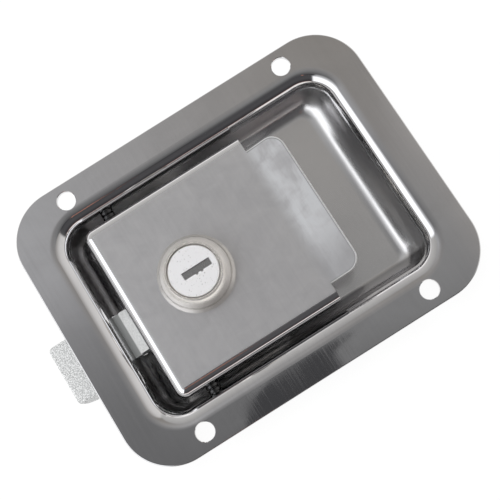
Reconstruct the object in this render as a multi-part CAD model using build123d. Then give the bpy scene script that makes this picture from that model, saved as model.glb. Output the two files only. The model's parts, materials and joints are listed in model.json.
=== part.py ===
from build123d import *
import os
from math import cos, radians, sin

# Flush paddle latch for a tool box: a pressed pan, a hinged paddle with a key cylinder, and a
# sprung bolt. Millimetres. The origin is the middle of the flange's back face, +Z points to
# the user and the bolt points to -X. A depth is counted down from the flange's front face.

# Pan: a flange with a recess pressed into it
sheet = 1.5
flange_length = 120.0
flange_width = 92.0
flange_corner = 16.0
flange_edge_round = 0.4
screw_spacing_x = 77.0
screw_spacing_y = 81.0
screw_hole_dia = 5.8
recess_length = 92.6
recess_width = 64.6
recess_corner = 7.5
recess_depth = 15.0
lip_bend = 5.2
floor_bend = 5.0

# Paddle: a folded plate with a finger tab
paddle_sheet = 1.5
paddle_length = 55.8
paddle_left_gap = 5.9
paddle_side_gap = 2.8
paddle_bend = 3.2
corner_over_bend = 0.2
side_fold_depth = 9.0
side_fold_corner = 4.0
left_fold_depth = 3.2
tab_reach = 10.8
tab_side_step = 5.8
tab_corner = 4.5
tab_tilt = 12.0
tab_bend = 20.0

# Hinge
hinge_inset = 10.2
hinge_depth = 4.5
pin_dia = 3.0
pin_end_round = 0.5
washer_wall = 0.6
washer_count = 2
washer_chamfer = 0.25

# Pull lever under the paddle
lever_sheet = 2.0
lever_web_length = 3.0
lever_web_lap = 1.0
lever_eye_wall = 1.4
short_ear_y = 7.6
finger_offset = 1.5
finger_half_width = 2.0
finger_reach = 12.0

# Return spring on the hinge pin
return_wire = 0.7
return_turns = 5
return_spring_y = 10.6
return_leg = 6.0
return_leg_tilt = 5.0
return_knee = 3.6
return_foot = 7.0

# Bolt
bolt_travel = 8.0
head_length = 10.9
head_line_y = -3.7
head_width = 19.7
head_top_depth = 8.0
head_bottom_depth = 23.5
nose_height = 5.2
nose_round = 5.8
bevel_middle_run = 0.24
bevel_middle_drop = 0.56
head_wall_gap = 1.1
head_corner = 1.4
head_edge_round = 0.7
neck_line_y = -2.9
neck_width = 14.6
neck_height = 3.7
shoulder_wall_gap = 2.5
shoulder_length = 12.6
shoulder_height = 6.3
shoulder_slope_width = 3.3
shoulder_slope_drop = 1.4
arm_width = 2.4
arm_lap = 4.8
wing_thickness = 4.0
wing_width = 7.0
wing_over_rod = 3.5
wing_corner = 1.0
wing_play = 0.6
bolt_floor_gap = 0.5
notch_reach = 3.3
notch_spare_y = 0.5
notch_play = 0.5
notch_corner = 1.0

# Bolt spring and its bracket
rod_dia = 3.0
rod_height = 4.5
rod_overrun = 3.5
rod_seat = 3.0
rod_chamfer = 0.5
spring_room = 0.7
spring_wire = 0.8
spring_turns = 9
spring_length = 20.6
clip_wall = 1.0
clip_thickness = 1.0
clip_chamfer = 0.3
bracket_sheet = 1.5
bracket_width = 14.0
bracket_foot = 10.0
bracket_bend = 1.5
bracket_corner = 2.0
rivet_dia = 3.0
rivet_head_dia = 5.6
rivet_head = 1.1
rivet_closing_dia = 4.5
rivet_side = 3.0
rivet_edge = 0.8

# Floor opening for the lock and the lever's finger
opening_hinge_room = 4.8
opening_lock_room = 12.0
opening_finger_room = 1.4
opening_barrel_room = 2.0
opening_corner = 4.0

# Key cylinder
lock_inset = 23.8
barrel_dia = 19.0
barrel_flats = 17.0
barrel_below_floor = 0.5
collar_overhang = 2.2
collar_base_height = 1.3
collar_step = 0.8
collar_step_rise = 0.9
collar_slope_width = 2.2
collar_bow_out = 0.35
collar_bow_up = 0.1
rim_height = 7.4
rim_drop = 0.5
rim_edge = 0.2
rim_wall = 0.75
nut_wall = 1.5
nut_thickness = 4.0
nut_chamfer = 1.0
nut_washer = 1.0
nut_washer_rim = 0.6
face_ring_gap = 0.35
face_sink = 0.2
face_thickness = 2.2
face_chamfer = 0.25
plug_radius = 6.5
key_slot_length = 9.3
key_slot_width = 2.25
key_slot_shift = 1.1
key_blade_reach = 19.0
ward_notch = 0.45
ward_places = (-0.6, 1.1)
shutter_thickness = 0.5
shutter_recess = 0.9
shutter_width = 3.0
shutter_pocket = 4.2
shutter_play = 0.3
shutter_pin_radius = 0.4
wafer_count = 5
wafer_pitch = 2.0
wafer_thickness = 0.8
wafer_first_depth = 1.0
wafer_width = 4.2
wafer_lift = 0.8
wafer_back = 5.2
wafer_window_length = 7.0
wafer_window_width = 2.6
wafer_wall = 1.0
square_tail = 7.0
tail_corner_spare = 0.75
tail_short = 0.1
cam_gap = 0.5
cam_thickness = 2.0
cam_width = 12.0
cam_reach = 18.0
cam_tail = 6.5
screw_dia = 4.0
screw_head_dia = 7.6
screw_head = 2.2
screw_length = 7.0
screw_slot = 1.0
star_washer_rim = 0.4
star_washer = 0.6

# Clearances, and how far a cutter runs past a face
running = 0.05
loose = 0.3
seat_gap = 0.05
over = 1.0

# Places that follow from the sizes: the pan and the paddle
wall_x = recess_length / 2
wall_y = recess_width / 2
floor_z = sheet - recess_depth
paddle_left = paddle_left_gap - wall_x
paddle_end = paddle_left + paddle_length
paddle_half_width = wall_y - paddle_side_gap
paddle_corner = paddle_bend + corner_over_bend
under_paddle = sheet - paddle_sheet
tab_tip = paddle_end + tab_reach
tab_half_width = paddle_half_width - tab_side_step
hinge_x = paddle_left + hinge_inset
hinge_z = sheet - hinge_depth
washer_radius = pin_dia / 2 + washer_wall
lever_eye_radius = pin_dia / 2 + lever_eye_wall
finger_tip_z = hinge_z - finger_reach

# Places of the bolt, its rod and spring
bolt_tip = wall_x + sheet + bolt_travel + head_wall_gap + head_length
bolt_bottom = floor_z + bolt_floor_gap
neck_low_y = neck_line_y - neck_width / 2
neck_high_y = neck_line_y + neck_width / 2
neck_top_z = bolt_bottom + neck_height
shoulder_x = shoulder_wall_gap - wall_x
shoulder_top_z = bolt_bottom + shoulder_height
tail_end = shoulder_x + shoulder_length
wing_low_y = neck_low_y - wing_width
wing_front_x = hinge_x + finger_half_width + wing_play
wing_back_x = wing_front_x + wing_thickness
notch_end = notch_reach - wall_x
rod_y = neck_low_y - wing_width / 2
rod_z = floor_z + rod_height
wing_top_z = rod_z + wing_over_rod
finger_side_y = rod_y - finger_offset
spring_radius = rod_dia / 2 + spring_room + spring_wire / 2
clip_radius = rod_dia / 2 + clip_wall
bracket_x = wing_back_x + spring_length
bracket_back_x = bracket_x + bracket_sheet
rivet_spacing = bracket_width - 2 * rivet_side

# Places of the key cylinder and of the floor opening round it
lock_x = paddle_left + lock_inset
collar_base_radius = barrel_dia / 2 + collar_overhang
collar_step_radius = collar_base_radius - collar_step
collar_step_height = collar_base_height + collar_step_rise
rim_radius = collar_step_radius - collar_slope_width
rim_inner_radius = rim_radius - rim_wall
face_radius = rim_inner_radius - face_ring_gap
face_z = sheet + rim_height - face_sink
nut_flats = barrel_dia + 2 * nut_wall
barrel_end_z = floor_z - sheet - barrel_below_floor
tail_corner_radius = square_tail / 2 + tail_corner_spare
cam_top_z = barrel_end_z - cam_gap
cam_bottom_z = cam_top_z - cam_thickness
star_washer_dia = screw_head_dia + 2 * star_washer_rim
key_floor_z = face_z - key_blade_reach
opening_left = hinge_x - opening_hinge_room
opening_right = lock_x + opening_lock_room
opening_low = finger_side_y - opening_finger_room
opening_high = barrel_dia / 2 + opening_barrel_room


def level(depth):
    """Height of a depth below the flange's front face."""
    return sheet - depth


def block(x0, x1, y0, y1, z0, z1):
    """Box between two corners."""
    middle = Pos((x0 + x1) / 2, (y0 + y1) / 2, (z0 + z1) / 2)
    return middle * Box(abs(x1 - x0), abs(y1 - y0), abs(z1 - z0))


def rod_along_y(radius, y0, y1, x=hinge_x, z=hinge_z):
    """Round bar along Y between two places."""
    return Pos(x, (y0 + y1) / 2, z) * Rot(90, 0, 0) * Cylinder(radius, abs(y1 - y0))


def rod_along_x(radius, x0, x1, y=rod_y, z=rod_z):
    """Round bar along X between two places."""
    return Pos((x0 + x1) / 2, y, z) * Rot(0, 90, 0) * Cylinder(radius, abs(x1 - x0))


def upright(radius, z0, z1, x=lock_x, y=0.0):
    """Round bar along Z between two heights."""
    return Pos(x, y, (z0 + z1) / 2) * Cylinder(radius, abs(z1 - z0))


def side_profile(face, y0, y1):
    """Sketch drawn in X and Z, made solid between two places along Y."""
    plane = Plane(origin=(0, y1, 0), x_dir=(1, 0, 0), z_dir=(0, -1, 0))
    return extrude(plane * face, amount=y1 - y0)


def under_skin(inset, spare):
    """Everything below the pressing's front face, or below its back face one sheet in."""
    top = level(inset)
    plan = RectangleRounded(flange_length + spare, flange_width + spare, flange_corner)
    body = extrude(Pos(0, 0, top) * plan, amount=-recess_depth - 3 * sheet - spare)
    mouth = RectangleRounded(recess_length + 2 * inset, recess_width + 2 * inset,
                             recess_corner + inset)
    hollow = extrude(Pos(0, 0, top) * mouth, amount=-recess_depth)
    hollow = fillet(hollow.faces().sort_by(Axis.Z)[0].edges(), floor_bend + inset)
    body -= hollow
    lip = body.faces().sort_by(Axis.Z)[-1].inner_wires()[0].edges()
    return fillet(lip, lip_bend - inset)


def make_pan():
    """Pressed stainless pan with its screw holes, bolt notch, floor opening and pin holes."""
    pan = under_skin(0, 0) - under_skin(sheet, sheet)
    outer_edge = pan.faces().sort_by(Axis.Z)[-1].outer_wire().edges()
    pan = fillet(outer_edge, flange_edge_round)
    for x in (-screw_spacing_x / 2, screw_spacing_x / 2):
        for y in (-screw_spacing_y / 2, screw_spacing_y / 2):
            pan -= upright(screw_hole_dia / 2, -sheet, 2 * sheet, x, y)
    notch = block(-wall_x - 2 * sheet, notch_end, neck_low_y - notch_play - notch_spare_y,
                  neck_high_y + notch_play, floor_z - 2 * sheet,
                  neck_top_z + notch_play)
    pan -= fillet(notch.edges().filter_by(Axis.X).sort_by(Axis.Z)[-2:], notch_corner)
    mouth = Rectangle(opening_right - opening_left, opening_high - opening_low)
    mouth = fillet(mouth.vertices(), opening_corner)
    middle = Pos((opening_left + opening_right) / 2, (opening_low + opening_high) / 2,
                 floor_z - 2 * sheet)
    pan -= extrude(middle * mouth, amount=3 * sheet)
    pan -= rod_along_y(pin_dia / 2 + running, -wall_y - 2 * sheet, wall_y + 2 * sheet)
    for y in rivet_places():
        pan -= upright(rivet_dia / 2 + running, floor_z - 2 * sheet, floor_z + sheet,
                       rivet_x(), y)
    return pan


def folded_shell(inset):
    """Outside of the folded paddle, or its inside one sheet in."""
    left = paddle_left + inset
    half = paddle_half_width - inset
    right = paddle_end + 2 * paddle_bend
    depth = side_fold_depth + inset
    top = level(inset)
    body = block(left, right, -half, half, top - depth, top)
    body = fillet(body.edges().filter_by(Axis.Z).sort_by(Axis.X)[:2], paddle_corner - inset)
    rim = body.faces().sort_by(Axis.Z)[-1].edges()
    rim = rim.sort_by(Axis.X)[:-1]
    return fillet(rim, paddle_bend - inset)


def barrel_outline(clearance):
    """Round barrel section with two flats."""
    round_part = Circle(barrel_dia / 2 + clearance)
    return round_part & Rectangle(2 * barrel_dia, barrel_flats + 2 * clearance)


def make_tab():
    """Finger tab: a soft bend and a plate that rises to its tip."""
    start_x = paddle_end - paddle_bend / 2
    bend_top = Pos(start_x, 0, sheet + tab_bend)
    ring = Circle(tab_bend + paddle_sheet) - Circle(tab_bend)
    wedge_far = 3 * tab_bend
    wedge = Polyline((0, 0), (0, -wedge_far),
                     (wedge_far * sin(radians(tab_tilt)), -wedge_far * cos(radians(tab_tilt))),
                     (0, 0))
    bend = side_profile(ring & make_face(wedge), -tab_half_width, tab_half_width)
    bend = bend_top * bend
    plate_length = (tab_tip - start_x - tab_bend * sin(radians(tab_tilt))) / cos(radians(tab_tilt))
    plate = block(-tab_bend, plate_length, -tab_half_width, tab_half_width,
                  -tab_bend - paddle_sheet, -tab_bend)
    plate = fillet(plate.edges().filter_by(Axis.Z).sort_by(Axis.X)[-2:], tab_corner)
    plate -= block(-2 * tab_bend, 0, -paddle_half_width, paddle_half_width,
                   -2 * tab_bend, tab_bend)
    plate = bend_top * Rot(0, -tab_tilt, 0) * plate
    inner = block(start_x - paddle_sheet, start_x, -tab_half_width, tab_half_width,
                  under_paddle, sheet)
    return inner + bend + plate


def make_paddle():
    """Folded paddle: three folds, the tab, the barrel's hole and the pin holes."""
    shell = folded_shell(0) - folded_shell(paddle_sheet)
    far = paddle_end + 4 * paddle_bend
    shell -= block(paddle_end, far, -2 * paddle_half_width, 2 * paddle_half_width,
                   level(2 * side_fold_depth), 2 * sheet)
    middle_half = paddle_half_width - paddle_corner
    shell -= block(paddle_left - over, paddle_left + paddle_corner, -middle_half, middle_half,
                   level(2 * side_fold_depth), level(left_fold_depth))
    corner_x = paddle_left + side_fold_corner
    corner_z = level(side_fold_depth) + side_fold_corner
    trim = Rectangle(side_fold_corner, side_fold_corner, align=(Align.MAX, Align.MAX))
    trim = trim - Circle(side_fold_corner)
    trim = Pos(corner_x, corner_z) * trim
    shell -= side_profile(trim, -paddle_half_width - over, paddle_half_width + over)
    paddle = shell + make_tab()
    mouth = Pos(lock_x, 0, under_paddle - over) * barrel_outline(running)
    paddle -= extrude(mouth, amount=paddle_sheet + 2 * over)
    paddle -= rod_along_y(pin_dia / 2 + running, -paddle_half_width - over,
                          paddle_half_width + over)
    return paddle


def make_pull_lever():
    """U-shaped lever welded under the paddle: a web, a short ear and a long finger."""
    eye = Circle(lever_eye_radius)
    web_left = hinge_x - lever_eye_radius - lever_web_length + lever_web_lap
    web_right = web_left + lever_web_length
    neck = make_face(Polyline((web_left, under_paddle), (hinge_x, under_paddle),
                              (hinge_x, hinge_z), (hinge_x, hinge_z - lever_eye_radius),
                              (web_left, under_paddle - lever_sheet), (web_left, under_paddle)))
    ear = neck + Pos(hinge_x, hinge_z) * eye
    below = Rectangle(recess_length, recess_depth, align=(Align.CENTER, Align.MAX))
    ear &= Pos(hinge_x, under_paddle) * below
    finger = Rectangle(2 * finger_half_width, finger_reach, align=(Align.CENTER, Align.MAX))
    finger = Pos(hinge_x, hinge_z) * finger
    finger += Pos(hinge_x, finger_tip_z) * Circle(finger_half_width)
    long_ear = side_profile(ear + finger, finger_side_y, finger_side_y + lever_sheet)
    short_ear = side_profile(ear, short_ear_y, short_ear_y + lever_sheet)
    web = block(web_left, web_right, finger_side_y, short_ear_y + lever_sheet,
                under_paddle - lever_sheet, under_paddle)
    lever = web + long_ear + short_ear
    return lever - rod_along_y(pin_dia / 2 + 2 * running, finger_side_y - over,
                               short_ear_y + lever_sheet + over)


def make_hinge_pin():
    """Pin through both side walls, rounded where its ends are peened."""
    pin = rod_along_y(pin_dia / 2, -wall_y - sheet, wall_y + sheet)
    return fillet(pin.edges().filter_by(GeomType.CIRCLE), pin_end_round)


def washer_span(number):
    """Inner and outer place of a washer between the paddle's fold and the pan's wall."""
    room = wall_y - paddle_half_width
    pitch = room / washer_count
    inner = paddle_half_width + number * pitch + 2 * seat_gap
    return inner, inner + pitch - 4 * seat_gap


def make_hinge_washer(side, number):
    """Spacer on the hinge pin."""
    inner, outer = washer_span(number)
    ring = rod_along_y(washer_radius, side * inner, side * outer)
    ring -= rod_along_y(pin_dia / 2 + running, side * (inner - over), side * (outer + over))
    rim = ring.edges().filter_by(GeomType.CIRCLE).sort_by(SortBy.RADIUS)[-2:]
    return chamfer(rim, washer_chamfer)


def coil(mean_radius, wire, turns, length):
    """Helical wire along +Z from the origin."""
    pitch = length / turns
    path = Edge.make_helix(pitch, length, mean_radius)
    start = path @ 0
    section = Plane(origin=start, z_dir=path % 0) * Circle(wire / 2)
    return sweep(section, path=path, is_frenet=True)


def make_return_spring():
    """Torsion spring round the hinge pin with a leg under the paddle and a foot on the floor."""
    mean = pin_dia / 2 + 2 * running + return_wire / 2
    pitch = return_wire + 2 * seat_gap
    place = Pos(hinge_x, return_spring_y, hinge_z) * Rot(-90, 0, 0)
    place = place * Rot(0, 0, return_leg_tilt - 90)
    turns = place * Edge.make_helix(pitch, return_turns * pitch, mean)
    leg_end = turns @ 0 - (turns % 0) * return_leg
    knee = turns @ 1 + (turns % 1) * return_knee
    foot = Vector(hinge_x + return_foot, knee.Y, floor_z + return_wire / 2 + loose)
    leg = Line(leg_end, turns @ 0)
    bend = FilletPolyline(turns @ 1, knee, foot, radius=2 * return_wire)
    path = Wire([leg.edge(), turns] + list(bend.edges()))
    section = Plane(origin=leg_end, z_dir=turns % 0) * Circle(return_wire / 2)
    return sweep(section, path=path)


def bolt_side():
    """Side view of the bolt's head: flat top, short flat nose and a curved bevel below it."""
    top = level(head_top_depth)
    nose_low = top - nose_height
    bottom = level(head_bottom_depth)
    tip = -bolt_tip
    back = head_length - bolt_tip
    bevel_end = tip + nose_round
    middle = (tip + bevel_middle_run * nose_round,
              nose_low - bevel_middle_drop * (nose_low - bottom))
    outline = Polyline((bevel_end, bottom), (back, bottom), (back, top), (tip, top),
                       (tip, nose_low))
    bevel = ThreePointArc((tip, nose_low), middle, (bevel_end, bottom))
    return make_face(outline.edges() + bevel.edges()), back


def make_bolt():
    """Die-cast bolt: head, neck through the pan's wall, shoulder, arm and wing."""
    profile, head_back = bolt_side()
    low_y = head_line_y - head_width / 2
    high_y = head_line_y + head_width / 2
    head = side_profile(profile, low_y, high_y)
    nose_face = head.faces().filter_by(Axis.X).sort_by(Axis.X)[0]
    head = fillet(nose_face.edges().filter_by(Axis.Z), head_corner)
    head = fillet(head.faces().sort_by(Axis.Z)[-1].edges(), head_edge_round)
    neck = block(head_back - over, shoulder_x + over, neck_low_y, neck_high_y, bolt_bottom,
                 neck_top_z)
    shoulder = block(shoulder_x, tail_end, neck_low_y, neck_high_y, bolt_bottom,
                     shoulder_top_z)
    high_edge = shoulder.edges().filter_by(Axis.X).sort_by(Axis.Z)[-2:].sort_by(Axis.Y)[-1]
    top_face = shoulder.faces().sort_by(Axis.Z)[-1]
    shoulder = chamfer(high_edge, shoulder_slope_width, shoulder_slope_drop,
                       reference=top_face)
    arm = block(tail_end - arm_lap, wing_back_x, neck_low_y - arm_width, neck_low_y, bolt_bottom,
                shoulder_top_z)
    wing = block(wing_front_x, wing_back_x, wing_low_y, neck_low_y, bolt_bottom,
                 wing_top_z)
    wing = fillet(wing.edges().filter_by(Axis.X).sort_by(Axis.Y)[:2], wing_corner)
    bolt = head + neck + shoulder + arm + wing
    return bolt - rod_along_x(rod_dia / 2 + running, wing_back_x - rod_seat, wing_back_x + over)


def make_spring_rod():
    """Guide rod seated in the wing and running through the bracket."""
    rod = rod_along_x(rod_dia / 2, wing_back_x - rod_seat, bracket_back_x + rod_overrun)
    return chamfer(rod.edges().filter_by(GeomType.CIRCLE).sort_by(Axis.X)[-1], rod_chamfer)


def make_rod_clip():
    """Retaining ring on the rod behind the bracket, the bolt's outward stop."""
    near = bracket_back_x + loose
    clip = rod_along_x(clip_radius, near, near + clip_thickness)
    clip = chamfer(clip.edges().filter_by(GeomType.CIRCLE).sort_by(Axis.X)[-1], clip_chamfer)
    return clip - rod_along_x(rod_dia / 2 + running, near - over, near + clip_thickness + over)


def make_bolt_spring():
    """Compression spring between the wing and the bracket."""
    near = wing_back_x + spring_wire / 2 + seat_gap
    far = bracket_x - spring_wire / 2 - seat_gap
    spring = coil(spring_radius, spring_wire, spring_turns, far - near)
    return Pos(near, rod_y, rod_z) * Rot(0, 90, 0) * spring


def rivet_x():
    """Place of the bracket's rivets along X."""
    return bracket_back_x + bracket_foot - rivet_head_dia / 2 - rivet_edge


def rivet_places():
    """Places of the bracket's rivets along Y."""
    return (rod_y - rivet_spacing / 2, rod_y + rivet_spacing / 2)


def make_bracket():
    """Angle riveted to the floor: it guides the rod and stops the closed paddle."""
    low_y = rod_y - bracket_width / 2
    high_y = rod_y + bracket_width / 2
    top = under_paddle - loose
    stand = block(bracket_x, bracket_back_x, low_y, high_y, floor_z, top)
    foot = block(bracket_x, bracket_back_x + bracket_foot, low_y, high_y, floor_z,
                 floor_z + bracket_sheet)
    angle = stand + foot
    heel = angle.edges().filter_by(Axis.Y).sort_by_distance((bracket_x, rod_y, floor_z))[0]
    angle = fillet(heel, bracket_bend + bracket_sheet / 2)
    inner = (bracket_back_x, rod_y, floor_z + bracket_sheet)
    angle = fillet(angle.edges().filter_by(Axis.Y).sort_by_distance(inner)[0], bracket_bend / 2)
    angle = fillet(stand_corners(angle, top), bracket_corner)
    angle -= rod_along_x(rod_dia / 2 + 2 * running, bracket_x - over, bracket_back_x + over)
    for y in rivet_places():
        angle -= upright(rivet_dia / 2 + running, floor_z - over, floor_z + 2 * bracket_sheet,
                         rivet_x(), y)
    return angle


def stand_corners(angle, top):
    """The two upper corners of the bracket's stand."""
    return angle.edges().filter_by(Axis.X).filter_by(lambda edge: edge.center().Z > top - over)


def make_rivets():
    """Two domed rivets through the bracket's foot and the pan's floor."""
    top = floor_z + bracket_sheet
    bottom = floor_z - sheet
    half_head = rivet_head_dia / 2
    ball = (half_head ** 2 + rivet_head ** 2) / (2 * rivet_head)
    dome = Pos(0, 0, top + rivet_head - ball) * Sphere(ball)
    dome &= upright(half_head, top, top + 2 * rivet_head, 0, 0)
    shank = upright(rivet_dia / 2, bottom, top, 0, 0)
    closing = upright(rivet_closing_dia / 2, bottom - rivet_head / 2, bottom, 0, 0)
    rivet = dome + shank + closing
    return Compound(children=[Pos(rivet_x(), y, 0) * rivet for y in rivet_places()])


def collar_face():
    """Half section of the key cylinder's head, in radius and height."""
    base = sheet
    rim = sheet + rim_height
    slope_top = rim - rim_drop
    outline = Polyline((0, base), (collar_base_radius, base),
                       (collar_base_radius, base + collar_base_height),
                       (collar_step_radius, base + collar_step_height))
    middle_radius = (collar_step_radius + rim_radius) / 2 + collar_bow_out
    middle_height = (base + collar_step_height + slope_top) / 2 + collar_bow_up
    slope = ThreePointArc((collar_step_radius, base + collar_step_height),
                          (middle_radius, middle_height), (rim_radius, slope_top))
    lip = Polyline((rim_radius, slope_top), (rim_radius - rim_edge, rim), (0, rim), (0, base))
    return make_face(outline.edges() + slope.edges() + lip.edges())


def make_lock_body():
    """Cast housing of the key cylinder: domed head, flatted barrel and the plug's bore."""
    head = revolve(Plane.XZ * collar_face(), Axis.Z)
    barrel = extrude(Pos(0, 0, barrel_end_z) * barrel_outline(0), amount=sheet - barrel_end_z)
    body = head + barrel
    pocket_z = face_z - face_thickness - seat_gap
    body -= upright(rim_inner_radius, pocket_z, face_z + over, 0, 0)
    body -= upright(plug_radius + running, barrel_end_z - over, face_z, 0, 0)
    low, high = wafer_levels()
    groove_reach = plug_radius + wafer_lift + loose
    half = wafer_width / 2 + loose
    body -= block(0, groove_reach, -half, half, low, high)
    body -= block(-half, half, -groove_reach, 0, low, high)
    return Pos(lock_x, 0, 0) * body


def wafer_z(number):
    """Underside of a wafer."""
    return level(wafer_first_depth) - number * wafer_pitch - wafer_thickness


def wafer_levels():
    """Lowest and highest level that the wafers' grooves reach."""
    return wafer_z(wafer_count - 1) - loose, wafer_z(0) + wafer_thickness + loose


def make_lock_plug():
    """Turning plug: face, keyway, shutter pocket, wafer slots and the square tail."""
    face = upright(face_radius, face_z - face_thickness, face_z, 0, 0)
    face = chamfer(face.edges().sort_by(Axis.Z)[-1], face_chamfer)
    plug = face + upright(plug_radius, barrel_end_z, face_z - face_thickness, 0, 0)
    half_tail = square_tail / 2
    tail_end_z = cam_bottom_z + tail_short
    tail = block(-half_tail, half_tail, -half_tail, half_tail, tail_end_z, barrel_end_z)
    plug += tail & upright(tail_corner_radius, tail_end_z, barrel_end_z, 0, 0)
    slot_left = key_slot_shift - key_slot_length / 2
    slot_right = key_slot_shift + key_slot_length / 2
    half_slot = key_slot_width / 2
    plug -= block(slot_left, slot_right, -half_slot, half_slot, key_floor_z, face_z + over)
    for place in ward_places:
        plug -= upright(ward_notch, face_z - face_thickness, face_z + over,
                        key_slot_shift + place, -half_slot)
    pocket_top = face_z - shutter_recess
    pocket_low = pocket_top - shutter_pocket
    pocket_half = shutter_width / 2 + shutter_play
    plug -= block(slot_left - shutter_play, slot_right + shutter_play, -pocket_half,
                  pocket_half, pocket_low, pocket_top)
    for number in range(wafer_count):
        low = wafer_z(number) - seat_gap
        half = wafer_width / 2 + seat_gap
        plug -= block(-wafer_back - seat_gap, plug_radius + over, -half, half, low,
                      low + wafer_thickness + 2 * seat_gap)
    screw_end_z = screw_seat_z() + screw_length
    plug -= upright(screw_dia / 2 + running, cam_bottom_z - over, screw_end_z + loose, 0, 0)
    return Pos(lock_x, 0, 0) * plug


def shutter_axis_y():
    """Place of the shutter's pivot across the keyway."""
    return shutter_width / 2 - shutter_pin_radius


def make_shutter():
    """Dust shutter behind the keyway, with its pivot along one long edge."""
    top = face_z - shutter_recess - seat_gap
    pivot_y = shutter_axis_y()
    left = key_slot_shift - key_slot_length / 2 + seat_gap
    right = key_slot_shift + key_slot_length / 2 - seat_gap
    flap = block(left, right, -shutter_width / 2, pivot_y, top - shutter_thickness, top)
    flap += rod_along_x(shutter_pin_radius, left, right, pivot_y, top - shutter_pin_radius)
    return Pos(lock_x, 0, 0) * flap


def make_wafer(number):
    """Flat wafer with the window that the key passes through."""
    low = wafer_z(number)
    high = low + wafer_thickness
    plate = block(-wafer_back, plug_radius, -wafer_width / 2, wafer_width / 2, low, high)
    plate &= upright(plug_radius - seat_gap, low, high, 0, 0)
    window_left = wafer_wall - wafer_back
    window = block(window_left, window_left + wafer_window_length, -wafer_window_width / 2,
                   wafer_window_width / 2, low - over, high + over)
    return Pos(lock_x, 0, 0) * (plate - window)


def make_lock_washer():
    """Flat washer between the paddle and the lock's nut."""
    top = under_paddle - seat_gap
    ring = upright(nut_flats / 2 + nut_washer_rim, top - nut_washer + seat_gap, top)
    return ring - upright(barrel_dia / 2 + 3 * running, top - 2 * nut_washer, top + over)


def make_lock_nut():
    """Hexagon nut that clamps the key cylinder to the paddle."""
    top = under_paddle - nut_washer - seat_gap
    hexagon = RegularPolygon(nut_flats / 2, 6, major_radius=False, rotation=30)
    nut = extrude(Pos(lock_x, 0, top - nut_thickness) * hexagon, amount=nut_thickness)
    corner = nut_flats / 2 / cos(radians(30))
    dome = upright(corner, top - nut_thickness, top)
    nut &= chamfer(dome.edges().filter_by(GeomType.CIRCLE), nut_chamfer)
    return nut - upright(barrel_dia / 2 + running, top - 2 * nut_thickness, top + over)


def make_cam():
    """Flat cam on the plug's square tail; its nose hooks under the pan's floor when locked."""
    nose = SlotCenterToCenter(cam_reach - cam_width / 2, cam_width)
    nose = Pos(-(cam_reach - cam_width / 2) / 2, 0) * nose
    outline = nose + Circle(cam_tail)
    tail = Rectangle(square_tail + 2 * running, square_tail + 2 * running)
    tail &= Circle(tail_corner_radius + running)
    return extrude(Pos(lock_x, 0, cam_bottom_z) * (outline - tail), amount=cam_thickness)


def screw_seat_z():
    """Underside of the cam's washer, where the screw's head bears."""
    return cam_bottom_z - star_washer - 2 * seat_gap


def make_star_washer():
    """Thin washer under the cam's screw."""
    top = cam_bottom_z - seat_gap
    ring = upright(star_washer_dia / 2, top - star_washer, top)
    return ring - upright(screw_dia / 2 + running, top - 2 * star_washer, top + over)


def make_cam_screw():
    """Slotted pan-head screw that holds the cam."""
    under_head = screw_seat_z()
    head = upright(screw_head_dia / 2, under_head - screw_head, under_head)
    head = fillet(head.edges().filter_by(GeomType.CIRCLE).sort_by(Axis.Z)[0], screw_head / 2)
    head -= block(lock_x - screw_head_dia, lock_x + screw_head_dia, -screw_slot / 2,
                  screw_slot / 2, under_head - screw_head - over, under_head - screw_head / 2)
    shank_top = under_head + screw_length
    return head + upright(screw_dia / 2, under_head - screw_head / 2, shank_top)


def main():
    """Build every node and write it."""
    nodes = {
        "pan": make_pan(),
        "paddle": make_paddle(),
        "pull_lever": make_pull_lever(),
        "hinge_pin": make_hinge_pin(),
        "return_spring": make_return_spring(),
        "bolt": make_bolt(),
        "spring_rod": make_spring_rod(),
        "rod_clip": make_rod_clip(),
        "bolt_spring": make_bolt_spring(),
        "spring_bracket": make_bracket(),
        "bracket_rivets": make_rivets(),
        "lock_body": make_lock_body(),
        "lock_washer": make_lock_washer(),
        "lock_nut": make_lock_nut(),
        "lock_plug": make_lock_plug(),
        "keyway_shutter": make_shutter(),
        "cam": make_cam(),
        "star_washer": make_star_washer(),
        "cam_screw": make_cam_screw(),
    }
    for number in range(washer_count):
        nodes[f"hinge_washer_low_{number + 1}"] = make_hinge_washer(-1, number)
        nodes[f"hinge_washer_high_{number + 1}"] = make_hinge_washer(1, number)
    for number in range(wafer_count):
        nodes[f"wafer_{number + 1}"] = make_wafer(number)
    os.makedirs("parts", exist_ok=True)
    for name, shape in nodes.items():
        export_step(shape, f"parts/{name}.step")
        print(name, round(shape.volume, 1))


main()
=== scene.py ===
import json
import math

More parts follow.
